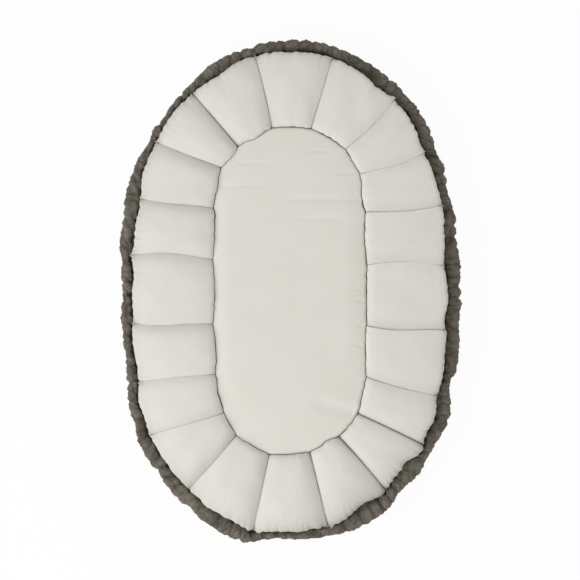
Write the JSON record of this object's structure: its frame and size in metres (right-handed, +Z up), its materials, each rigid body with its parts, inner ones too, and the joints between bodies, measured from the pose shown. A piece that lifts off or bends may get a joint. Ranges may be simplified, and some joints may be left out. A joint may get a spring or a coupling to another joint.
{
  "type": "infant lounger",
  "caption": "Low oval baby nest: a quilted wall of stuffed channels round a loose stadium-shaped mattress, with a gathered elastic border.",
  "frame": {"origin": "middle of the underside of the base panel, on the surface that the nest stands on", "axes": "+Z up, +Y towards the head end, +X towards the right side of the nest seen from above with the head end away"},
  "size_m": [0.6116, 0.9, 0.08],
  "materials": {
    "lining_cotton": "matte",
    "outer_cotton": "matte",
    "wadding": "matte",
    "mattress_foam": "matte",
    "elastic_tape": "matte"
  },
  "bodies": {
    "nest": {"lining_panel_01": "lining_cotton", "lining_panel_02": "lining_cotton", "lining_panel_03": "lining_cotton", "lining_panel_04": "lining_cotton", "lining_panel_05": "lining_cotton", "lining_panel_06": "lining_cotton", "lining_panel_07": "lining_cotton", "lining_panel_08": "lining_cotton", "lining_panel_09": "lining_cotton", "lining_panel_10": "lining_cotton", "lining_panel_11": "lining_cotton", "lining_panel_12": "lining_cotton", "lining_panel_13": "lining_cotton", "lining_panel_14": "lining_cotton", "lining_panel_15": "lining_cotton", "lining_panel_16": "lining_cotton", "lining_panel_17": "lining_cotton", "lining_panel_18": "lining_cotton", "lining_panel_19": "lining_cotton", "lining_panel_20": "lining_cotton", "stuffing_01": "wadding", "stuffing_02": "wadding", "stuffing_03": "wadding", "stuffing_04": "wadding", "stuffing_05": "wadding", "stuffing_06": "wadding", "stuffing_07": "wadding", "stuffing_08": "wadding", "stuffing_09": "wadding", "stuffing_10": "wadding", "stuffing_11": "wadding", "stuffing_12": "wadding", "stuffing_13": "wadding", "stuffing_14": "wadding", "stuffing_15": "wadding", "stuffing_16": "wadding", "stuffing_17": "wadding", "stuffing_18": "wadding", "stuffing_19": "wadding", "stuffing_20": "wadding", "outer_wall": "outer_cotton", "base_panel": "outer_cotton", "floor_lining": "lining_cotton", "edge_casing": "outer_cotton", "edge_elastic": "elastic_tape"},
    "mattress": {"mattress_cover_top": "lining_cotton", "mattress_cover_bottom": "lining_cotton", "mattress_core": "mattress_foam"}
  },
  "joints": [
    {"name": "mattress_lift", "type": "slide", "parent": "nest", "child": "mattress", "axis": [0, 0, 1], "range_m": [0, 0.15]}
  ]
}
